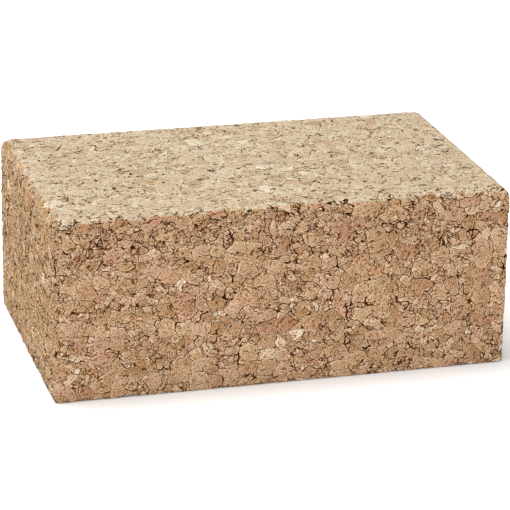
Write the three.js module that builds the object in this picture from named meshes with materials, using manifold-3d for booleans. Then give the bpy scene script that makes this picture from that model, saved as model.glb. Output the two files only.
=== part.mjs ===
// Cork sanding block: one pressed block of bonded cork granules, held in the hand with a sheet of
// abrasive paper folded round its sole. Millimetres, +Z up, origin at the middle of the sole.
import * as THREE from "three";
import { mergeVertices } from "three/addons/utils/BufferGeometryUtils.js";
import Module from "manifold-3d";

const wasm = await Module();
wasm.setup();

// Driving dimensions: X runs along the block, Y across it and Z up from the sole.
const blockLength = 100;
const blockWidth = 60;
const blockHeight = 40;
const topSideRadius = 2.2; // the two long edges under the palm
const topEndRadius = 2.5; // the two short edges under the palm
const uprightEdgeRadius = 0.8; // the four upright corners, only just broken

// How finely a round edge is cut, and how far each prism runs past the block before the cut.
const segmentsPerQuarter = 10;
const overshoot = 5;

// The outline of a wall seen square on: flat on the sole, with its two upper corners rounded.
function wallOutline(span, radius) {
  const half = span / 2;
  const shape = new THREE.Shape();
  shape.moveTo(-half, 0);
  shape.lineTo(half, 0);
  shape.lineTo(half, blockHeight - radius);
  shape.absarc(half - radius, blockHeight - radius, radius, 0, Math.PI / 2);
  shape.absarc(radius - half, blockHeight - radius, radius, Math.PI / 2, Math.PI);
  shape.closePath();
  return shape;
}

// The outline of the block seen from above, with its four upright corners rounded.
function planOutline() {
  const x = blockLength / 2 - uprightEdgeRadius;
  const y = blockWidth / 2 - uprightEdgeRadius;
  const corners = [
    [x, y],
    [-x, y],
    [-x, -y],
    [x, -y],
  ];
  const shape = new THREE.Shape();
  shape.moveTo(blockLength / 2, y);
  corners.forEach(([cornerX, cornerY], quarter) => {
    const start = (quarter * Math.PI) / 2;
    shape.absarc(cornerX, cornerY, uprightEdgeRadius, start, start + Math.PI / 2);
  });
  shape.closePath();
  return shape;
}

// A straight prism on an outline, centred on the outline's own plane.
function prism(outline, depth) {
  const geometry = new THREE.ExtrudeGeometry(outline, {
    depth,
    curveSegments: segmentsPerQuarter,
    bevelEnabled: false,
  });
  return geometry.translate(0, 0, -depth / 2);
}

function toSolid(geometry) {
  const bare = new THREE.BufferGeometry();
  bare.setAttribute("position", geometry.getAttribute("position"));
  const merged = mergeVertices(bare, 1e-4);
  return new wasm.Manifold(
    new wasm.Mesh({
      numProp: 3,
      vertProperties: merged.getAttribute("position").array,
      triVerts: new Uint32Array(merged.getIndex().array),
    }),
  );
}

function toGeometry(solid) {
  const mesh = solid.getMesh();
  const geometry = new THREE.BufferGeometry();
  geometry.setAttribute("position", new THREE.BufferAttribute(mesh.vertProperties, 3));
  geometry.setIndex(new THREE.BufferAttribute(mesh.triVerts, 1));
  geometry.computeVertexNormals();
  return geometry;
}

// The block is what the front view, the end view and the plan have in common.
function corkBlock() {
  const alongY = prism(wallOutline(blockLength, topEndRadius), blockWidth + 2 * overshoot);
  alongY.rotateX(Math.PI / 2);
  const alongX = prism(wallOutline(blockWidth, topSideRadius), blockLength + 2 * overshoot);
  alongX.rotateX(Math.PI / 2).rotateZ(Math.PI / 2);
  const alongZ = prism(planOutline(), 2 * (blockHeight + overshoot));
  const solid = toSolid(alongY).intersect(toSolid(alongX)).intersect(toSolid(alongZ));

  const cork = new THREE.MeshStandardMaterial({
    color: 0xbd9a74,
    roughness: 0.9,
    metalness: 0,
  });
  const mesh = new THREE.Mesh(toGeometry(solid), cork);
  mesh.name = "cork_block";
  return mesh;
}

const sandingBlock = new THREE.Group();
sandingBlock.name = "sanding_block";
sandingBlock.add(corkBlock());

export default sandingBlock;
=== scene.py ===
"""Cork sanding block: its granulated surface, its finish and the studio that it stands in.

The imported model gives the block's place and size. The smooth block is replaced by one piece with the
relief of pressed and sawn cork, and its relief and its colours read the same pattern of granules.
"""

import logging
import math
from dataclasses import dataclass

import bmesh
import bpy
import numpy as np
from mathutils import Matrix, Vector

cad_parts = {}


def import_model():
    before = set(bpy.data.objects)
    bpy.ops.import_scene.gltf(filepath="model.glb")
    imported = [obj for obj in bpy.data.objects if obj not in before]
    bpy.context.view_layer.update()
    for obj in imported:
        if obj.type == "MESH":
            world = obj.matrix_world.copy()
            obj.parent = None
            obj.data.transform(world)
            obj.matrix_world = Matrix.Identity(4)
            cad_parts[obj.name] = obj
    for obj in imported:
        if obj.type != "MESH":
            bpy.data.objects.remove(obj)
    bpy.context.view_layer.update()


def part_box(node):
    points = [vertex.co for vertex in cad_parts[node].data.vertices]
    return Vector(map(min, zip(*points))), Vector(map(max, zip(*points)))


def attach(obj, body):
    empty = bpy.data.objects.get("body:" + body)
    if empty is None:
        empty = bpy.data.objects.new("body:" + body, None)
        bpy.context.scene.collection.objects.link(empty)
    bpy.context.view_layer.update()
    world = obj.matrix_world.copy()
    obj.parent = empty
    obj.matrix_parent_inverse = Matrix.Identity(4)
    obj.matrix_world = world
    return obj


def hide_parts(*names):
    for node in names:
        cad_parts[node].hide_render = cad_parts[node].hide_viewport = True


LOG = logging.getLogger("sanding_block")
MM = 0.001
CAD_NODE = "cork_block"
BODY = "root"
BAKE_MAP = "OFBake"

# The kinds of node that are used most.
MATH = "ShaderNodeMath"
RANGE = "ShaderNodeMapRange"
VECTOR = "ShaderNodeVectorMath"
MIX = "ShaderNodeMix"
NOISE = "ShaderNodeTexNoise"
VORONOI = "ShaderNodeTexVoronoi"
SEPARATE = "ShaderNodeSeparateXYZ"
RAMP = "ShaderNodeValToRGB"

Tree = bpy.types.NodeTree
Socket = bpy.types.NodeSocket
Sockets = dict[str, Socket]


def linear(hex_colour: str) -> tuple[float, float, float, float]:
    """Turns an sRGB colour into the linear numbers that a shader takes.

    Args:
        hex_colour: The colour as six hex digits after a #.

    Returns:
        Linear red, green and blue, and an alpha of 1.
    """
    parts = [int(hex_colour[i : i + 2], 16) / 255 for i in (1, 3, 5)]
    red, green, blue = (
        part / 12.92 if part <= 0.04045 else ((part + 0.055) / 1.055) ** 2.4
        for part in parts
    )
    return red, green, blue, 1.0


def add_node(tree: Tree, kind: str, inputs: dict | None = None, **settings) -> bpy.types.Node:
    """Adds a node with its settings and links.

    Args:
        tree: The shader or geometry tree that gets the node.
        kind: The node's type.
        inputs: By input name or number, the socket linked to it or the value set on it.
        **settings: Properties of the node. stops is a ramp's list of (place, hex colour).

    Returns:
        The new node.
    """
    node = tree.nodes.new(kind)
    stops = settings.pop("stops", ())
    for name, value in settings.items():
        setattr(node, name, value)
    for place, _ in stops[2:]:
        node.color_ramp.elements.new(place)
    for element, (place, hex_colour) in zip(node.color_ramp.elements if stops else (), stops):
        element.position = place
        element.color = linear(hex_colour)
    for key, value in (inputs or {}).items():
        if isinstance(value, Socket):
            tree.links.new(value, node.inputs[key])
        else:
            node.inputs[key].default_value = value
    return node


def apply_modifiers(piece: bpy.types.Object) -> None:
    """Applies a piece's modifiers in order.

    Args:
        piece: The mesh object.
    """
    bpy.context.view_layer.objects.active = piece
    for modifier in list(piece.modifiers):
        bpy.ops.object.modifier_apply(modifier=modifier.name)


@dataclass(frozen=True)
class GranulePattern:
    """The granules of the cork, as nodes that a shader tree and a geometry tree both take.

    Lengths are in millimetres.

    Attributes:
        half_length: Half of the block's length.
        half_width: Half of its width.
        height: Its height.
        coarse: Mean size of the coarse granules.
        fine: Mean size of the fines that some of them are crushed to.
        fine_thinning: How much narrower the joints between fines are.
        share_of_fines: Share of the coarse granules that are crushed to fines.
        dust: Mean size of the smallest crumbs.
        dust_thinning: How much narrower the joints between crumbs are.
        share_of_dust: Share of the granules that are crushed to crumbs.
        torn_dust: What the saw added to that share in the torn band.
        flattening: How much flatter than wide the press left the granules.
        bend: How far the borders wander, with a wave of bend_length.
        fray: How far they wander, with a wave of fray_length.
        gape_length: Distance over which the joints change from closed to open.
        pressed_shut: How much the press closed the joints of the top.
        torn_depth: How far the torn band reaches under the top.
        torn_patch: Length of the waves in the band's lower border.
        torn_wander: Height of those waves.
        end_depth: Depth of the layer that counts as an end wall.
        round_depth: Depth under the top above which an end is round and not a wall.
        pit_spacing: Spacing of the pits that missing granules left.
        pit_radius: Radius of a pit.
    """

    half_length: float
    half_width: float
    height: float
    coarse: float = 3.5
    fine: float = 1.9
    fine_thinning: float = 1.2
    share_of_fines: float = 0.52
    dust: float = 0.9
    dust_thinning: float = 2.0
    share_of_dust: float = 0.09
    torn_dust: float = 0.15
    flattening: float = 1.25
    bend: float = 1.5
    bend_length: float = 5.0
    fray: float = 0.3
    fray_length: float = 1.1
    gape_length: float = 1.7
    pressed_shut: float = 0.09
    torn_depth: float = 12.0
    torn_patch: float = 5.0
    torn_wander: float = 14.0
    end_depth: float = 0.8
    round_depth: float = 1.8
    pit_spacing: float = 8.0
    pit_radius: float = 0.6

    def build(self, tree: Tree, place: Socket) -> Sockets:
        """Adds the pattern's nodes to a tree.

        Args:
            tree: The tree that gets them.
            place: The socket with the position in metres.

        Returns:
            Sockets by name: place (mm), granule (three random numbers per granule), chance, kind
            and tone (those numbers one by one), joint (mm to the granule's border), lean (-0.5 on a
            granule's high side to 0.5 on its low side), pit (1 where a small granule fell out), gape
            (how far the joints open, 0 to 1), torn (1 where the saw tore the long walls), at_end (1
            on the end walls), under_top, over_sole, off_side and off_end (mm from those faces), and
            top_edge, sole_edge and upright (mm from those edges).
        """
        place_mm = add_node(tree, VECTOR, {0: place, "Scale": 1 / MM}, operation="SCALE").outputs[0]
        sockets = {"place": place_mm}
        self.add_distances(tree, sockets)
        self.add_torn_band(tree, sockets)
        self.add_gape(tree, sockets)
        bent = self.bent_place(tree, sockets)
        self.add_granules(tree, sockets, bent)
        self.add_pits(tree, sockets, bent)
        return sockets

    def bent_place(self, tree: Tree, sockets: Sockets) -> Socket:
        """Bends and frays the place, and squeezes it as the press did.

        Args:
            tree: The tree that gets the nodes.
            sockets: Holds place.

        Returns:
            The bent place in mm.
        """
        moved = sockets["place"]
        for length, reach in ((self.bend_length, self.bend), (self.fray_length, self.fray)):
            noise = add_node(
                tree,
                NOISE,
                {"Vector": sockets["place"], "Scale": 1 / length, "Detail": 2.0, "Roughness": 0.6},
            )
            centred = add_node(
                tree, VECTOR, {0: noise.outputs["Color"], 1: (0.5, 0.5, 0.5)}, operation="SUBTRACT"
            )
            moved = add_node(
                tree,
                VECTOR,
                {0: centred.outputs[0], 1: (2 * reach,) * 3, 2: moved},
                operation="MULTIPLY_ADD",
            ).outputs[0]
        return add_node(
            tree, VECTOR, {0: moved, 1: (1.0, 1.0, self.flattening)}, operation="MULTIPLY"
        ).outputs[0]

    def add_granules(self, tree: Tree, sockets: Sockets, bent: Socket) -> None:
        """Adds coarse granules, some of them crushed to fines and crumbs.

        Args:
            tree: The tree that gets the nodes.
            sockets: Holds torn, and gets granule, chance, kind, tone, joint and lean.
            bent: The bent place in mm.
        """
        granule, joint, lean = self.cells(tree, bent, self.coarse)
        for size, share, thinning, torn_share in (
            (self.fine, self.share_of_fines, self.fine_thinning, 0.0),
            (self.dust, self.share_of_dust, self.dust_thinning, self.torn_dust),
        ):
            smaller, border, smaller_lean = self.cells(tree, bent, size)
            border = add_node(tree, MATH, {0: border, 1: thinning}, operation="MULTIPLY").outputs[0]
            first = add_node(tree, SEPARATE, {0: granule}).outputs[0]
            chance = add_node(
                tree, MATH, {0: sockets["torn"], 1: -torn_share, 2: first}, operation="MULTIPLY_ADD"
            ).outputs[0]
            crushed = add_node(tree, MATH, {0: chance, 1: share}, operation="LESS_THAN").outputs[0]
            nearer = add_node(tree, MATH, {0: joint, 1: border}, operation="MINIMUM").outputs[0]
            granule = add_node(
                tree, MIX, {0: crushed, 4: granule, 5: smaller}, data_type="VECTOR"
            ).outputs[1]
            joint = add_node(tree, MIX, {0: crushed, 2: joint, 3: nearer}, data_type="FLOAT").outputs[0]
            lean = add_node(tree, MIX, {0: crushed, 2: lean, 3: smaller_lean}, data_type="FLOAT").outputs[0]
        numbers = add_node(tree, SEPARATE, {0: granule}).outputs
        sockets["chance"], sockets["kind"], sockets["tone"] = numbers
        sockets["granule"], sockets["joint"], sockets["lean"] = granule, joint, lean

    @staticmethod
    def cells(tree: Tree, place: Socket, size: float) -> tuple[Socket, Socket, Socket]:
        """Adds one size of granules.

        Args:
            tree: The tree that gets the nodes.
            place: The bent place in mm.
            size: The granules' mean size in mm.

        Returns:
            Three random numbers per granule, the distance to its border in mm, and its lean.
        """
        cell = add_node(tree, VORONOI, {"Vector": place, "Scale": 1 / size}, feature="F1")
        border = add_node(tree, VORONOI, {"Vector": place, "Scale": 1 / size}, feature="DISTANCE_TO_EDGE")
        joint = add_node(tree, MATH, {0: border.outputs["Distance"], 1: size}, operation="MULTIPLY")
        number = cell.outputs["Color"]
        centred = add_node(tree, VECTOR, {0: number, 1: (0.5, 0.5, 0.5)}, operation="SUBTRACT").outputs[0]
        downhill = add_node(tree, VECTOR, {0: centred}, operation="NORMALIZE").outputs[0]
        off_centre = add_node(
            tree, VECTOR, {0: place, 1: cell.outputs["Position"]}, operation="SUBTRACT"
        ).outputs[0]
        across = add_node(
            tree, VECTOR, {0: off_centre, 1: downhill}, operation="DOT_PRODUCT"
        ).outputs["Value"]
        lean = add_node(tree, MATH, {0: across, 1: 1 / size}, operation="MULTIPLY").outputs[0]
        return number, joint.outputs[0], lean

    def add_pits(self, tree: Tree, sockets: Sockets, bent: Socket) -> None:
        """Adds the pits that missing granules left.

        Args:
            tree: The tree that gets the nodes.
            sockets: Gets pit.
            bent: The bent place in mm.
        """
        away = add_node(
            tree, VORONOI, {"Vector": bent, "Scale": 1 / self.pit_spacing}, feature="F1"
        ).outputs["Distance"]
        edge = self.pit_radius / self.pit_spacing
        floor = 0.6 * edge
        sockets["pit"] = add_node(tree, RANGE, {0: away, 1: edge, 2: floor}).outputs[0]

    def add_distances(self, tree: Tree, sockets: Sockets) -> None:
        """Adds the distances to the block's faces and edges.

        Args:
            tree: The tree that gets the nodes.
            sockets: Holds place, and gets under_top, over_sole, off_side, off_end, at_end,
                top_edge, sole_edge and upright.
        """
        along = add_node(tree, SEPARATE, {0: sockets["place"]})
        inward = []
        for axis, half in ((0, self.half_length), (1, self.half_width)):
            size = add_node(tree, MATH, {0: along.outputs[axis]}, operation="ABSOLUTE").outputs[0]
            inward.append(add_node(tree, MATH, {0: half, 1: size}, operation="SUBTRACT").outputs[0])
        sockets["off_end"], sockets["off_side"] = inward
        sockets["over_sole"] = along.outputs[2]
        sockets["under_top"] = add_node(
            tree, MATH, {0: self.height, 1: along.outputs[2]}, operation="SUBTRACT"
        ).outputs[0]
        wall = add_node(tree, MATH, {0: inward[0], 1: inward[1]}, operation="MINIMUM").outputs[0]
        for name, first, second in (
            ("upright", inward[0], inward[1]),
            ("top_edge", wall, sockets["under_top"]),
            ("sole_edge", wall, sockets["over_sole"]),
        ):
            sockets[name] = add_node(tree, MATH, {0: first, 1: second}, operation="MAXIMUM").outputs[0]
        # An end wall is nearer to the end than to a side, and lies below the round.
        layer = add_node(tree, MATH, {0: inward[1], 1: self.end_depth}, operation="MINIMUM").outputs[0]
        in_layer = add_node(tree, MATH, {0: inward[0], 1: layer}, operation="LESS_THAN").outputs[0]
        below_round = add_node(
            tree, MATH, {0: sockets["under_top"], 1: self.round_depth}, operation="GREATER_THAN"
        ).outputs[0]
        sockets["at_end"] = add_node(
            tree, MATH, {0: in_layer, 1: below_round}, operation="MULTIPLY"
        ).outputs[0]

    def add_torn_band(self, tree: Tree, sockets: Sockets) -> None:
        """Adds the band under the top where the saw tore the long walls.

        Args:
            tree: The tree that gets the nodes.
            sockets: Holds place and the distances, and gets torn.
        """
        patches = add_node(
            tree, NOISE, {"Vector": sockets["place"], "Scale": 1 / self.torn_patch, "Detail": 2.0}
        ).outputs["Fac"]
        ragged = add_node(
            tree, MATH, {0: patches, 1: self.torn_wander, 2: sockets["under_top"]}, operation="MULTIPLY_ADD"
        ).outputs[0]
        middle = self.torn_depth + self.torn_wander / 2
        near_top = add_node(
            tree, RANGE, {0: ragged, 1: middle + 3.0, 2: middle - 4.0}, interpolation_type="SMOOTHSTEP"
        ).outputs[0]
        on_side = add_node(tree, RANGE, {0: sockets["off_side"], 1: 2.6, 2: 1.2}).outputs[0]
        sockets["torn"] = add_node(tree, MATH, {0: near_top, 1: on_side}, operation="MULTIPLY").outputs[0]

    def add_gape(self, tree: Tree, sockets: Sockets) -> None:
        """Adds how far the joints gape: little on the pressed top, most where the saw tore.

        Args:
            tree: The tree that gets the nodes.
            sockets: Holds place, under_top and torn, and gets gape.
        """
        noise = add_node(
            tree,
            NOISE,
            {"Vector": sockets["place"], "Scale": 1 / self.gape_length, "Detail": 3.0, "Roughness": 0.7},
        ).outputs["Fac"]
        pressed = add_node(
            tree, RANGE, {0: sockets["under_top"], 1: 1.2, 2: 0.4, 3: 0.0, 4: -self.pressed_shut}
        ).outputs[0]
        closed = add_node(tree, MATH, {0: noise, 1: pressed}, operation="ADD").outputs[0]
        opened = add_node(
            tree, MATH, {0: sockets["torn"], 1: 0.015, 2: closed}, operation="MULTIPLY_ADD"
        ).outputs[0]
        sockets["gape"] = add_node(tree, RANGE, {0: opened, 1: 0.42, 2: 0.74}).outputs[0]


@dataclass(frozen=True)
class Mark:
    """Something that makes the cork lighter or darker.

    Attributes:
        source: Name of the socket that says how much of it there is.
        middle: The value of that socket that changes nothing.
        wall: What one unit of it adds to the tone on the long walls and the sole.
        end: The same on the end walls.
        top: The same on the pressed top.
    """

    source: str
    middle: float
    wall: float
    end: float
    top: float


MARKS = (
    Mark("tone", 0.5, -0.125, -0.1, -0.075),
    Mark("grain", 0.5, 0.1, 0.2, 0.07),
    Mark("speck", 0.5, 0.36, 0.6, 0.3),
    Mark("dot", 0.0, -0.12, -0.15, -0.08),
    # Painted light and shade across each leaning granule: darker on its low side, lighter on its high side.
    Mark("lean", 0.0, -0.05, -0.08, -0.03),
    Mark("chip", 0.0, 0.12, 0.12, 0.07),
    # Painted shade on the lip over the long walls, which faces the light.
    Mark("lip_shade", 0.0, -0.05, -0.05, 0.0),
    # Painted highlight in a ring round each pore.
    Mark("pore_highlight", 0.0, 0.09, 0.12, 0.05),
    Mark("pore", 0.0, -0.36, -0.52, -0.62),
    Mark("scratch", 0.0, -0.22, -0.24, -0.1),
    # Dark joints between granules, with painted shadow on each granule's low side.
    Mark("crack_and_shadow", 0.0, -2.2, -2.0, -2.6),
    Mark("end_round", 0.0, 0.05, 0.05, 0.02),
    # Painted highlight: the edge beside each joint is drawn lighter.
    Mark("joint_highlight", 0.0, 0.15, 0.17, 0.1),
    # Painted shade inside the pits that missing granules left.
    Mark("pit", 0.0, -0.4, -0.4, -0.4),
)

# From the shade inside an open joint, over the walls' tan, to a pale chip.
CORK_TONES = (
    (0.0, "#2C1001"),
    (0.14, "#522505"),
    (0.28, "#7A4919"),
    (0.42, "#966B42"),
    (0.56, "#AF8C6C"),
    (0.75, "#D4B595"),
    (0.92, "#E8D8C2"),
)
# Single granules are rusty, rosy or yellowish.
GRANULE_HUES = (
    (0.0, "#FFEDE0"),
    (0.06, "#FFF6EC"),
    (0.18, "#FFFBF4"),
    (0.4, "#FFFFFA"),
    (0.56, "#FFFAFC"),
    (0.7, "#FFF3F8"),
    (0.84, "#FFFFF6"),
    (0.97, "#FFFFFF"),
)
# Linear factors that turn the tan of the long walls to that of each other part.
WALL_TINT = (0.98, 1.03, 1.09, 1.0)
END_TINT = (1.03, 1.11, 1.08, 1.0)
ROUND_TINT = (1.02, 1.15, 1.2, 1.0)
TOP_TINT = (0.96, 1.26, 1.53, 1.0)


@dataclass(frozen=True)
class CorkFinish:
    """Agglomerated cork, pressed from granules and sawn: matt, dry and finely speckled.

    Attributes:
        pattern: The granules.
        name: The material's name.
        base_tone: The tone where there is no mark, as a place on CORK_TONES.
        grain_size: Width of the grain in mm.
        drawn_out: How far the grain is drawn out, from 0 to 1.
        pore_size: Width of the waves that the pores are cut from, in mm.
        speck_size: Size of the specks in mm.
        tear_size: Length of the waves that the scratches follow, in mm.
        narrow_joint: Half the width of a closed joint in mm.
        wide_joint: Half the width of an open joint in mm.
        highlight_width: Width of the painted highlight beside a joint in mm.
        roughness: Dry sawn cork scatters light almost evenly.
        specular: Its open cells leave hardly any gloss.
    """

    pattern: GranulePattern
    name: str = "agglomerated_cork_sawn"
    base_tone: float = 0.542
    grain_size: float = 0.36
    drawn_out: float = 0.78
    pore_size: float = 0.5
    speck_size: float = 0.24
    tear_size: float = 1.5
    narrow_joint: float = 0.1
    wide_joint: float = 0.14
    highlight_width: float = 0.22
    roughness: float = 0.9
    specular: float = 0.08

    def build(self) -> bpy.types.Material:
        """Makes the material.

        Returns:
            The material.
        """
        material = bpy.data.materials.new(self.name)
        material.use_nodes = True
        tree = material.node_tree
        tree.nodes.clear()
        place = add_node(tree, "ShaderNodeTexCoord").outputs["Object"]
        sockets = self.pattern.build(tree, place)
        self.add_pale(tree, sockets)
        self.add_grain(tree, sockets)
        self.add_joints(tree, sockets)
        self.add_rounds(tree, sockets)
        shader = add_node(
            tree,
            "ShaderNodeBsdfPrincipled",
            {
                "Base Color": self.colour(tree, sockets),
                "Normal": self.bump(tree, sockets),
                "Roughness": self.roughness,
                "Specular IOR Level": self.specular,
            },
        )
        add_node(tree, "ShaderNodeOutputMaterial", {0: shader.outputs[0]})
        return material

    @staticmethod
    def add_pale(tree: Tree, sockets: Sockets) -> None:
        """Adds the pressed top, with a border that runs granule by granule.

        Args:
            tree: The shader tree.
            sockets: Holds the distances and chance, and gets pale (1 on the pressed top).
        """
        masks = []
        for name, outside, inside, wander in (("under_top", 2.1, 1.9, 1.7), ("off_end", 0.3, 0.6, -1.6)):
            moved = add_node(
                tree, MATH, {0: sockets["chance"], 1: wander, 2: sockets[name]}, operation="MULTIPLY_ADD"
            ).outputs[0]
            masks.append(add_node(tree, RANGE, {0: moved, 1: outside, 2: inside}).outputs[0])
        sockets["pale"] = add_node(tree, MATH, {0: masks[0], 1: masks[1]}, operation="MINIMUM").outputs[0]

    @staticmethod
    def close_place(tree: Tree, sockets: Sockets) -> Socket:
        """Squeezes the place across the end walls, whose saw marks run level.

        Args:
            tree: The shader tree.
            sockets: Holds place and at_end.

        Returns:
            The squeezed place in mm.
        """
        squeeze = add_node(
            tree, MIX, {0: sockets["at_end"], 4: (1.0, 1.0, 1.0), 5: (1.0, 0.4, 1.0)}, data_type="VECTOR"
        ).outputs[1]
        return add_node(tree, VECTOR, {0: sockets["place"], 1: squeeze}, operation="MULTIPLY").outputs[0]

    def grain_place(self, tree: Tree, sockets: Sockets, place: Socket) -> Socket:
        """Squeezes the place along a direction of each granule's own, which draws its grain out.

        Args:
            tree: The shader tree.
            sockets: Holds granule, off_side and pale.
            place: The place in mm.

        Returns:
            The squeezed place in mm.
        """
        direction = add_node(
            tree, VECTOR, {0: sockets["granule"], 1: (0.5, 0.5, 0.5)}, operation="SUBTRACT"
        ).outputs[0]
        # The saw combed the long walls up and to the right. On the top the grain lies lengthways.
        on_side = add_node(tree, MATH, {0: sockets["off_side"], 1: 0.9}, operation="LESS_THAN").outputs[0]
        on_top = add_node(tree, MATH, {0: sockets["pale"], 1: 0.5}, operation="GREATER_THAN").outputs[0]
        for mask, pull in ((on_side, (0.2, 0.0, 0.3)), (on_top, (0.7, 0.1, 0.0))):
            combed = add_node(tree, VECTOR, {0: pull, "Scale": mask}, operation="SCALE").outputs[0]
            direction = add_node(tree, VECTOR, {0: direction, 1: combed}, operation="ADD").outputs[0]
        unit = add_node(tree, VECTOR, {0: direction}, operation="NORMALIZE").outputs[0]
        along = add_node(tree, VECTOR, {0: unit, 1: place}, operation="DOT_PRODUCT").outputs["Value"]
        taken = add_node(tree, MATH, {0: along, 1: -self.drawn_out}, operation="MULTIPLY").outputs[0]
        drawn = add_node(tree, VECTOR, {0: unit, "Scale": taken}, operation="SCALE").outputs[0]
        return add_node(tree, VECTOR, {0: place, 1: drawn}, operation="ADD").outputs[0]

    def add_grain(self, tree: Tree, sockets: Sockets) -> None:
        """Adds what lies inside a granule: its grain, pores, specks, scratches and chips, and a painted
        highlight round the pores.

        Args:
            tree: The shader tree.
            sockets: Gets grain, pore, pore_highlight, speck, dot, scratch and chip.
        """
        close = self.close_place(tree, sockets)
        drawn = self.grain_place(tree, sockets, close)
        noises = {}
        for name, place, size, detail, roughness in (
            # Rows of cork cells and growth lines, finer across each granule than along it.
            ("grain", drawn, self.grain_size, 2.0, 0.7),
            # Lenticels, the cork's pores: short dark strokes 0.3 mm wide and 1 to 2 mm long.
            ("pores", drawn, self.pore_size, 1.0, 0.5),
            # Specks of dust and open cells, about 0.25 mm across.
            ("speck", close, self.speck_size, 0.0, 0.5),
            ("tears", close, self.tear_size, 2.0, 0.6),
        ):
            noises[name] = add_node(
                tree, NOISE, {"Vector": place, "Scale": 1 / size, "Detail": detail, "Roughness": roughness}
            ).outputs["Fac"]
        sockets["grain"], sockets["speck"] = noises["grain"], noises["speck"]
        torn_pores = add_node(
            tree, MATH, {0: sockets["torn"], 1: 0.035, 2: noises["pores"]}, operation="MULTIPLY_ADD"
        ).outputs[0]
        # Scratches follow a level line of their noise, so they are thin, curved and broken.
        centred = add_node(tree, MATH, {0: noises["tears"], 1: 0.5}, operation="SUBTRACT").outputs[0]
        off_line = add_node(tree, MATH, {0: centred}, operation="ABSOLUTE").outputs[0]
        for name, source, none, full in (
            ("pore", torn_pores, 0.655, 0.67),
            # A ring just outside each pore, for the painted highlight round it.
            ("pore_highlight", torn_pores, 0.59, 0.63),
            ("dot", noises["speck"], 0.38, 0.3),
            ("line", off_line, 0.03, 0.012),
            ("unbroken", noises["pores"], 0.45, 0.55),
            ("chip", sockets["kind"], 0.968, 0.972),
        ):
            sockets[name] = add_node(tree, RANGE, {0: source, 1: none, 2: full}).outputs[0]
        sockets["scratch"] = add_node(
            tree, MATH, {0: sockets["line"], 1: sockets["unbroken"]}, operation="MULTIPLY"
        ).outputs[0]

    def add_joints(self, tree: Tree, sockets: Sockets) -> None:
        """Adds the dark joints between the granules, with painted shadow on the low side of each granule,
        and a painted highlight on the edges beside them.

        Args:
            tree: The shader tree.
            sockets: Holds joint, gape, lean and pale, and gets crack_and_shadow and joint_highlight.
        """
        widening = self.by_face(tree, sockets, 1.0, 1.2, 1.25)
        opening = add_node(
            tree, RANGE, {0: sockets["gape"], 3: self.narrow_joint, 4: self.wide_joint}
        ).outputs[0]
        edge = add_node(tree, MATH, {0: opening, 1: widening}, operation="MULTIPLY").outputs[0]
        core = add_node(tree, MATH, {0: edge, 1: 0.6}, operation="MULTIPLY").outputs[0]
        highlight_end = add_node(tree, MATH, {0: edge, 1: self.highlight_width}, operation="ADD").outputs[0]
        inside = add_node(tree, RANGE, {0: sockets["joint"], 1: core, 2: edge, 3: 1.0, 4: 0.0}).outputs[0]
        # Painted highlight: the broken edge beside a joint is drawn lighter, as if the light caught it.
        sockets["joint_highlight"] = add_node(
            tree, RANGE, {0: sockets["joint"], 1: edge, 2: highlight_end, 3: 1.0, 4: 0.0}
        ).outputs[0]
        # Painted shadow: the joint is drawn darker on the low side of each granule, which lies in the
        # shadow of its neighbour.
        faintest = add_node(tree, RANGE, {0: sockets["pale"], 3: 0.2, 4: 0.05}).outputs[0]
        shade = add_node(tree, RANGE, {0: sockets["gape"], 1: 0.0, 2: 0.6, 3: faintest, 4: 0.52}).outputs[0]
        low_side = add_node(tree, RANGE, {0: sockets["lean"], 1: -0.15, 2: 0.2, 3: 0.4, 4: 1.0}).outputs[0]
        shadow = add_node(tree, MATH, {0: low_side, 1: shade}, operation="MULTIPLY").outputs[0]
        sockets["crack_and_shadow"] = add_node(tree, MATH, {0: inside, 1: shadow}, operation="MULTIPLY").outputs[0]

    @staticmethod
    def add_rounds(tree: Tree, sockets: Sockets) -> None:
        """Adds the rounds under the top.

        The lip over the long walls gets painted shade, which keeps it as dark as the wall although it faces
        the light. The round between an end and the top is a lighter, yellower tan.

        Args:
            tree: The shader tree.
            sockets: Holds the distances, at_end and pale, and gets lip_shade and end_round.
        """
        for name, source, none, full in (
            # The band under the top of the long walls, which gets painted shade.
            ("lip_shade", "under_top", 2.6, 0.8),
            ("under_round", "under_top", 2.6, 2.0),
            ("near_end", "off_end", 3.0, 2.4),
        ):
            sockets[name] = add_node(tree, RANGE, {0: sockets[source], 1: none, 2: full}).outputs[0]
        for mask in ("pale", "at_end"):
            rest = add_node(tree, RANGE, {0: sockets[mask], 3: 1.0, 4: 0.0}).outputs[0]
            sockets["lip_shade"] = add_node(
                tree, MATH, {0: sockets["lip_shade"], 1: rest}, operation="MULTIPLY"
            ).outputs[0]
        sockets["end_round"] = add_node(
            tree, MATH, {0: sockets["under_round"], 1: sockets["near_end"]}, operation="MULTIPLY"
        ).outputs[0]

    @staticmethod
    def by_face(
        tree: Tree, sockets: Sockets, on_wall: float, on_end: float, on_top: float
    ) -> Socket:
        """Chooses a number by face.

        Args:
            tree: The shader tree.
            sockets: Holds at_end and pale.
            on_wall: The number on the long walls and the sole.
            on_end: The number on the end walls.
            on_top: The number on the pressed top.

        Returns:
            The number.
        """
        walls = add_node(tree, RANGE, {0: sockets["at_end"], 3: on_wall, 4: on_end}).outputs[0]
        return add_node(tree, MIX, {0: sockets["pale"], 2: walls, 3: on_top}, data_type="FLOAT").outputs[0]

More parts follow.
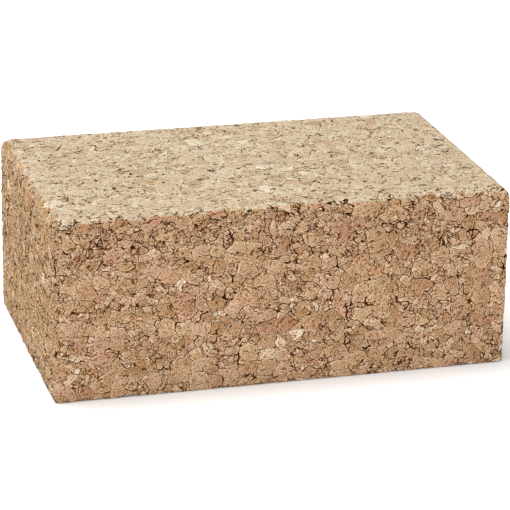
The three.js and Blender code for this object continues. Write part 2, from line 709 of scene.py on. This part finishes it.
    def tone(self, tree: Tree, sockets: Sockets) -> Socket:
        """Adds up the marks.

        Args:
            tree: The shader tree.
            sockets: Holds each mark's source.

        Returns:
            The tone, as a place on CORK_TONES.
        """
        level = self.base_tone
        for mark in MARKS:
            centred = add_node(
                tree, MATH, {0: sockets[mark.source], 1: mark.middle}, operation="SUBTRACT"
            ).outputs[0]
            weight = self.by_face(tree, sockets, mark.wall, mark.end, mark.top)
            level = add_node(
                tree, MATH, {0: centred, 1: weight, 2: level}, operation="MULTIPLY_ADD"
            ).outputs[0]
        return level

    def colour(self, tree: Tree, sockets: Sockets) -> Socket:
        """Colours the cork by its tone, its granules' hues and its faces.

        Args:
            tree: The shader tree.
            sockets: Holds kind, at_end, end_round, pale and each mark's source.

        Returns:
            The colour.
        """
        tone = self.tone(tree, sockets)
        tan = add_node(tree, RAMP, {0: tone}, stops=CORK_TONES).outputs[0]
        hue = add_node(tree, RAMP, {0: sockets["kind"]}, stops=GRANULE_HUES).outputs[0]
        # The top is a pressed face, smoother, paler and more even than the sawn walls.
        strength = add_node(tree, RANGE, {0: sockets["pale"], 3: 0.85, 4: 0.55}).outputs[0]
        tinted = add_node(
            tree, MIX, {0: strength, 6: tan, 7: hue}, data_type="RGBA", blend_type="MULTIPLY"
        ).outputs[2]
        # The marks on the top stay as brown as those on the walls.
        lit = add_node(tree, RANGE, {0: tone, 1: 0.2, 2: 0.45}).outputs[0]
        pale_and_lit = add_node(tree, MATH, {0: sockets["pale"], 1: lit}, operation="MULTIPLY").outputs[0]
        tint = WALL_TINT
        for mask, other in (
            (sockets["at_end"], END_TINT),
            (sockets["end_round"], ROUND_TINT),
            (pale_and_lit, TOP_TINT),
        ):
            tint = add_node(tree, MIX, {0: mask, 6: tint, 7: other}, data_type="RGBA").outputs[2]
        return add_node(
            tree, MIX, {0: 1.0, 6: tinted, 7: tint}, data_type="RGBA", blend_type="MULTIPLY"
        ).outputs[2]

    @staticmethod
    def bump(tree: Tree, sockets: Sockets) -> Socket:
        """Adds the relief that is finer than the mesh.

        Args:
            tree: The shader tree.
            sockets: Holds crack_and_shadow, pore and grain.

        Returns:
            The normal.
        """
        height = 0.0
        for name, millimetres in (("crack_and_shadow", -0.35), ("pore", -0.15), ("grain", 0.14)):
            height = add_node(
                tree, MATH, {0: sockets[name], 1: millimetres, 2: height}, operation="MULTIPLY_ADD"
            ).outputs[0]
        return add_node(
            tree, "ShaderNodeBump", {"Height": height, "Distance": MM, "Strength": 1.0}
        ).outputs[0]


@dataclass(frozen=True)
class CrumbledEdge:
    """A kind of edge that crumbled, granule by granule.

    Attributes:
        name: Name of the socket with the distance to it.
        reach: How far from the edge the damage goes, in mm.
        depth: Its greatest depth in mm.
        whole: Share of the granules that stayed whole.
    """

    name: str
    reach: float
    depth: float
    whole: float


CRUMBLED_EDGES = (
    CrumbledEdge("top_edge", 2.0, 0.16, 0.5),
    CrumbledEdge("sole_edge", 1.2, 0.42, 0.55),
    CrumbledEdge("upright", 1.0, 0.2, 0.6),
)


@dataclass(frozen=True)
class CorkRelief:
    """The relief of the pressed and sawn surface, cut inwards. Lengths are in millimetres.

    Attributes:
        pattern: The granules.
        narrow_joint: Half the width of a closed joint.
        wide_joint: Half the width of an open joint.
        joint_depth: Depth of an open joint.
        lie_depth: How far the lowest granules lie below their neighbours.
        tilt_on_top: Drop across a leaning granule of the pressed top.
        tilt_on_walls: The same on the walls.
        end_roughness: How much rougher the end walls are.
        pit_depth: Depth of a pit.
        torn_depth: Depth of the roughest places of the torn band.
        rough_size: Size of the rough places.
        least_skin: How far even the smoothest places lie below the smooth block.
        most_skin: The same for the roughest places.
    """

    pattern: GranulePattern
    narrow_joint: float = 0.02
    wide_joint: float = 0.3
    joint_depth: float = 0.18
    lie_depth: float = 0.07
    tilt_on_top: float = 0.03
    tilt_on_walls: float = 0.12
    end_roughness: float = 2.2
    pit_depth: float = 0.8
    torn_depth: float = 0.22
    rough_size: float = 1.3
    least_skin: float = 0.03
    most_skin: float = 0.1

    def build(self) -> bpy.types.NodeTree:
        """Makes the geometry nodes that sink each point by the relief's depth.

        Returns:
            The node tree.
        """
        tree = bpy.data.node_groups.new("granule_relief", "GeometryNodeTree")
        for side in ("INPUT", "OUTPUT"):
            tree.interface.new_socket("Geometry", in_out=side, socket_type="NodeSocketGeometry")
        source = add_node(tree, "NodeGroupInput").outputs[0]
        place = add_node(tree, "GeometryNodeInputPosition").outputs[0]
        normal = add_node(tree, "GeometryNodeInputNormal").outputs[0]
        sockets = self.pattern.build(tree, place)
        skin, torn = self.rough_depths(tree, sockets)
        pits = add_node(tree, MATH, {0: sockets["pit"], 1: self.pit_depth}, operation="MULTIPLY").outputs[0]
        total = skin
        granules = self.granule_depths(tree, sockets)
        for depth in (*granules, pits, torn, *self.edge_depths(tree, sockets)):
            total = add_node(tree, MATH, {0: total, 1: depth}, operation="ADD").outputs[0]
        inwards = add_node(tree, MATH, {0: total, 1: -MM}, operation="MULTIPLY").outputs[0]
        offset = add_node(tree, VECTOR, {0: normal, "Scale": inwards}, operation="SCALE").outputs[0]
        moved = add_node(tree, "GeometryNodeSetPosition", {"Geometry": source, "Offset": offset}).outputs[0]
        add_node(tree, "NodeGroupOutput", {0: moved})
        return tree

    def granule_depths(self, tree: Tree, sockets: Sockets) -> list[Socket]:
        """Sinks the joints, and lets each granule lie and lean differently.

        Args:
            tree: The geometry tree.
            sockets: Holds gape, joint, chance, lean, under_top and at_end.

        Returns:
            The depths in mm of the joints, of where each granule lies, and of its lean.
        """
        width = add_node(
            tree, RANGE, {0: sockets["gape"], 3: self.narrow_joint, 4: self.wide_joint}
        ).outputs[0]
        gap = add_node(
            tree,
            RANGE,
            {0: sockets["joint"], 1: 0.0, 2: width, 3: 1.0, 4: 0.0},
            interpolation_type="SMOOTHSTEP",
        ).outputs[0]
        gap_depth = add_node(
            tree, MATH, {0: sockets["gape"], 1: self.joint_depth}, operation="MULTIPLY"
        ).outputs[0]
        # A granule's own level starts a little way in from its border.
        inner = add_node(
            tree, RANGE, {0: sockets["joint"], 1: 0.0, 2: 0.2}, interpolation_type="SMOOTHSTEP"
        ).outputs[0]
        lie = add_node(
            tree, RANGE, {0: sockets["chance"], 1: 0.3, 2: 1.0, 3: 0.0, 4: self.lie_depth}
        ).outputs[0]
        leaning = add_node(tree, RANGE, {0: sockets["lean"], 1: -0.5, 2: 0.5}).outputs[0]
        tilt = add_node(
            tree,
            RANGE,
            {0: sockets["under_top"], 1: 0.5, 2: 2.0, 3: self.tilt_on_top, 4: self.tilt_on_walls},
        ).outputs[0]
        rougher = add_node(tree, RANGE, {0: sockets["at_end"], 3: 1.0, 4: self.end_roughness}).outputs[0]
        depths = []
        for part, mask in ((gap, gap_depth), (lie, inner), (leaning, tilt)):
            depth = add_node(tree, MATH, {0: part, 1: mask}, operation="MULTIPLY").outputs[0]
            depths.append(add_node(tree, MATH, {0: depth, 1: rougher}, operation="MULTIPLY").outputs[0])
        return depths

    def rough_depths(self, tree: Tree, sockets: Sockets) -> tuple[Socket, Socket]:
        """Roughens the whole surface a little, and the torn band more.

        Args:
            tree: The geometry tree.
            sockets: Holds place and torn.

        Returns:
            The depths in mm of the skin and of the torn band.
        """
        rough = add_node(
            tree,
            NOISE,
            {"Vector": sockets["place"], "Scale": 1 / self.rough_size, "Detail": 3.0, "Roughness": 0.65},
        ).outputs["Fac"]
        skin = add_node(
            tree, RANGE, {0: rough, 1: 0.3, 2: 0.7, 3: self.least_skin, 4: self.most_skin}
        ).outputs[0]
        torn_out = add_node(tree, RANGE, {0: rough, 1: 0.4, 2: 0.75, 3: 0.0, 4: self.torn_depth}).outputs[0]
        torn = add_node(tree, MATH, {0: torn_out, 1: sockets["torn"]}, operation="MULTIPLY").outputs[0]
        return skin, torn

    @staticmethod
    def edge_depths(tree: Tree, sockets: Sockets) -> list[Socket]:
        """Crumbles the edges, some granules more than others.

        Args:
            tree: The geometry tree.
            sockets: Holds tone and each crumbled edge's distance.

        Returns:
            One depth in mm per crumbled edge.
        """
        depths = []
        for edge in CRUMBLED_EDGES:
            nearness = add_node(
                tree, RANGE, {0: sockets[edge.name], 1: edge.reach, 2: 0.0}, interpolation_type="SMOOTHSTEP"
            ).outputs[0]
            crumbled = add_node(
                tree, RANGE, {0: sockets["tone"], 1: edge.whole, 2: 1.0, 3: 0.0, 4: edge.depth}
            ).outputs[0]
            depths.append(add_node(tree, MATH, {0: nearness, 1: crumbled}, operation="MULTIPLY").outputs[0])
        return depths


@dataclass(frozen=True)
class Chart:
    """Where one face of the block lies on the flat layout.

    Attributes:
        across: The axis of the block that runs across the sheet.
        sign: 1 if it runs to the right, -1 if it runs to the left.
        along: The axis of the block that runs up the sheet.
        left: The chart's left border on the sheet in metres.
        foot: The chart's lower border on the sheet in metres.
    """

    across: int
    sign: int
    along: int
    left: float
    foot: float


@dataclass
class CorkBlock:
    """The block itself: a plain cuboid with a sharp sole and rounded upper edges.

    Attributes:
        low: Its lower corner, in metres.
        high: Its upper corner, in metres.
        relief: The relief of its surface.
        finish: Its material.
        side_radius: Rounding of the long upper edges.
        end_radius: Rounding of the short upper edges, the largest of the three.
        upright_radius: Rounding of the upright edges.
        bevel_segments: Number of steps round a rounded edge.
        mesh_step: Width of a face of the even mesh.
        most_triangles: The mesh is thinned to this number.
        chart_gap: Space between two charts of the flat layout.
    """

    low: Vector
    high: Vector
    relief: CorkRelief
    finish: CorkFinish
    side_radius: float = 2.2 * MM
    end_radius: float = 2.5 * MM
    upright_radius: float = 0.8 * MM
    bevel_segments: int = 6
    mesh_step: float = 0.3 * MM
    most_triangles: int = 196_000
    chart_gap: float = 1.0 * MM

    def build(self) -> bpy.types.Object:
        """Builds the block, its relief and its bake map, and dresses it.

        Returns:
            The finished piece.
        """
        piece = self.plain_block()
        self.add_relief(piece)
        self.lay_out(piece)
        piece.data.materials.clear()
        piece.data.materials.append(self.finish.build())
        return piece

    def plain_block(self) -> bpy.types.Object:
        """Models the smooth block.

        Returns:
            The mesh object, at the origin.
        """
        bpy.ops.object.select_all(action="DESELECT")
        size = self.high - self.low
        bpy.ops.mesh.primitive_cube_add(size=1, location=(self.low + self.high) / 2, scale=size)
        piece = bpy.context.active_object
        piece.name = piece.data.name = "pressed_cork_block"
        bpy.ops.object.transform_apply(location=True, rotation=True, scale=True)
        bpy.ops.object.mode_set(mode="EDIT")
        mesh = bmesh.from_edit_mesh(piece.data)
        weight = mesh.edges.layers.float.new("bevel_weight_edge")
        for edge in mesh.edges:
            edge[weight] = self.radius_of(edge) / self.end_radius
        bmesh.update_edit_mesh(piece.data)
        bpy.ops.object.mode_set(mode="OBJECT")
        rounding = piece.modifiers.new("rounded_edges", "BEVEL")
        rounding.limit_method = "WEIGHT"
        rounding.width = self.end_radius
        rounding.segments = self.bevel_segments
        apply_modifiers(piece)
        return piece

    def radius_of(self, edge: bmesh.types.BMEdge) -> float:
        """Gives an edge's rounding.

        Args:
            edge: One of the cuboid's twelve edges.

        Returns:
            The radius in metres, 0 at the sole.
        """
        start, end = (vertex.co for vertex in edge.verts)
        if abs(start.z - end.z) > self.upright_radius:
            return self.upright_radius
        if start.z < (self.low.z + self.high.z) / 2:
            return 0.0
        return self.side_radius if abs(start.x - end.x) > abs(start.y - end.y) else self.end_radius

    def add_relief(self, piece: bpy.types.Object) -> None:
        """Cuts the granules' relief into the block, and applies it.

        Args:
            piece: The smooth block.
        """
        grid = piece.modifiers.new("even_mesh", "REMESH")
        grid.mode = "VOXEL"
        grid.voxel_size = self.mesh_step
        grid.use_smooth_shade = True
        relief = piece.modifiers.new("granule_relief", "NODES")
        relief.node_group = self.relief.build()
        apply_modifiers(piece)
        triangles = 2 * len(piece.data.polygons)
        if triangles > self.most_triangles:
            thin = piece.modifiers.new("thinned", "DECIMATE")
            thin.ratio = self.most_triangles / triangles
            apply_modifiers(piece)

    def lay_out(self, piece: bpy.types.Object) -> None:
        """Gives the block a flat layout of its six faces.

        Args:
            piece: The block with its relief.
        """
        mesh = piece.data
        points = np.empty(3 * len(mesh.vertices))
        mesh.vertices.foreach_get("co", points)
        corners = np.empty(len(mesh.loops), dtype=np.int32)
        mesh.loops.foreach_get("vertex_index", corners)
        counts = np.empty(len(mesh.polygons), dtype=np.int32)
        mesh.polygons.foreach_get("loop_total", counts)
        centres = np.empty(3 * len(mesh.polygons))
        mesh.polygons.foreach_get("center", centres)
        centres = centres.reshape(-1, 3)
        low, high = np.array(self.low), np.array(self.high)
        off_faces = np.concatenate((centres - low, high - centres), axis=1)
        face = np.repeat(off_faces.argmin(axis=1), counts)
        spots = points.reshape(-1, 3)[corners] - (low + high) / 2
        half = (high - low) / 2
        sheet = np.zeros((len(corners), 2))
        for number, chart in enumerate(self.charts()):
            chosen = face == number
            across, along = spots[chosen, chart.across], spots[chosen, chart.along]
            sheet[chosen, 0] = chart.left + half[chart.across] + chart.sign * across
            sheet[chosen, 1] = chart.foot + half[chart.along] + along
        length, width, height = high - low
        gap = self.chart_gap
        sheet += gap / 2
        sheet /= (2 * (width + height) + 4 * gap, length + height + 2 * gap)
        layer = mesh.uv_layers.new(name=BAKE_MAP)
        layer.data.foreach_set("uv", sheet.ravel())

    def charts(self) -> tuple[Chart, ...]:
        """Places the six faces: four side by side, and the two ends in a second row.

        Returns:
            The charts of the left end, the front, the sole, the right end, the back and the top.
        """
        x, y, z = range(3)
        length, width, height = self.high - self.low
        second = width + self.chart_gap
        third = second + width + self.chart_gap
        fourth = third + height + self.chart_gap
        upper_row = length + self.chart_gap
        return (
            Chart(y, -1, z, 0.0, upper_row),
            Chart(z, -1, x, third, 0.0),
            Chart(y, 1, x, second, 0.0),
            Chart(y, 1, z, second, upper_row),
            Chart(z, 1, x, fourth, 0.0),
            Chart(y, -1, x, 0.0, 0.0),
        )


@dataclass(frozen=True)
class SoftLight:
    """A round area light.

    Attributes:
        name: Its name.
        place: Where it hangs, in metres.
        size: Its diameter in metres.
        power: Its power in watts.
    """

    name: str
    place: tuple[float, float, float]
    size: float
    power: float


LIGHTS = (
    SoftLight("overhead", (-0.2, 0.1, 0.9), 0.6, 9.0),
    SoftLight("front_fill", (-0.2, -1.0, 0.45), 0.6, 4.2),
)


@dataclass
class Studio:
    """The floor, the lights and the camera.

    Attributes:
        length: The block's length in metres.
        azimuth: Angle of the camera to the right of the front, in degrees.
        elevation: Angle of the camera above the floor, in degrees.
        roll: Turn of the camera about its own axis, in degrees.
        distance: Distance of the camera, in block lengths.
        beside: How far to the right of the view's middle the block's foot lies, in block lengths.
        above: How far above the view's middle it lies, in block lengths.
        lens: Focal length in mm.
        sensor_width: Width of the sensor in mm.
        nearest: Nearest distance that the camera draws, in metres.
        floor_lengths: Width of the floor in block lengths.
        aim_height: Height that the lights aim at, in metres.
        sky: Strength of the sky.
    """

    length: float
    azimuth: float = -15.95
    elevation: float = 20.19
    roll: float = 0.958
    distance: float = 5.680
    beside: float = -0.0191
    above: float = -0.1715
    lens: float = 178.8
    sensor_width: float = 36.0
    nearest: float = 0.01
    floor_lengths: float = 40.0
    aim_height: float = 20 * MM
    sky: float = 0.6

    def build(self) -> None:
        """Makes the whole studio."""
        self.add_floor()
        self.add_sky()
        for light in LIGHTS:
            self.add_light(light)
        self.add_camera()

    def add_floor(self) -> None:
        """Lays a plain pale floor."""
        bpy.ops.object.select_all(action="DESELECT")
        bpy.ops.mesh.primitive_plane_add(size=self.floor_lengths * self.length)
        floor = bpy.context.active_object
        floor.name = "floor"
        material = bpy.data.materials.new("pale_floor")
        material.use_nodes = True
        shader = material.node_tree.nodes["Principled BSDF"]
        shader.inputs["Base Color"].default_value = linear("#F4F4F4")
        shader.inputs["Roughness"].default_value = 0.9
        floor.data.materials.append(material)

    def add_sky(self) -> None:
        """Adds an even white sky."""
        world = bpy.data.worlds.new("studio")
        bpy.context.scene.world = world
        world.use_nodes = True
        background = world.node_tree.nodes["Background"]
        background.inputs["Color"].default_value = linear("#FFFFFF")
        background.inputs["Strength"].default_value = self.sky

    def add_light(self, light: SoftLight) -> None:
        """Adds a light that aims at the block.

        Args:
            light: The light.
        """
        data = bpy.data.lights.new(light.name, "AREA")
        data.shape = "DISK"
        data.size = light.size
        data.energy = light.power
        lamp = bpy.data.objects.new(light.name, data)
        bpy.context.collection.objects.link(lamp)
        lamp.location = light.place
        aim = Vector((0, 0, self.aim_height)) - Vector(light.place)
        lamp.rotation_euler = aim.to_track_quat("-Z", "Y").to_euler()

    def add_camera(self) -> None:
        """Places the camera: three-quarter view onto the front, the left end and the top."""
        azimuth, elevation = math.radians(self.azimuth), math.radians(self.elevation)
        level = math.cos(elevation)
        back = Vector((math.sin(azimuth) * level, -math.cos(azimuth) * level, math.sin(elevation)))
        right = (-back).cross(Vector((0, 0, 1))).normalized()
        up = right.cross(-back)
        turn = Matrix.Rotation(math.radians(self.roll), 3, back)
        right, up = turn @ right, turn @ up
        data = bpy.data.cameras.new("camera")
        data.lens = self.lens
        data.sensor_width = self.sensor_width
        data.clip_start = self.nearest
        camera = bpy.data.objects.new("camera", data)
        bpy.context.collection.objects.link(camera)
        axes = Matrix((right, up, back)).transposed()
        camera.rotation_euler = axes.to_euler()
        camera.location = self.length * (back * self.distance - right * self.beside - up * self.above)
        bpy.context.scene.camera = camera


def main() -> None:
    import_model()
    low, high = (Vector(corner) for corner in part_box(CAD_NODE))
    bpy.context.scene.view_settings.view_transform = "Standard"
    Studio(high.x - low.x).build()
    size_mm = (high - low) / MM
    pattern = GranulePattern(size_mm.x / 2, size_mm.y / 2, size_mm.z)
    block = CorkBlock(low, high, CorkRelief(pattern), CorkFinish(pattern)).build()
    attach(block, BODY)
    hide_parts(CAD_NODE)
    LOG.info("%s: %d faces", block.name, len(block.data.polygons))


if __name__ == "__main__":
    logging.basicConfig(level=logging.INFO, format="%(name)s: %(message)s")
    main()
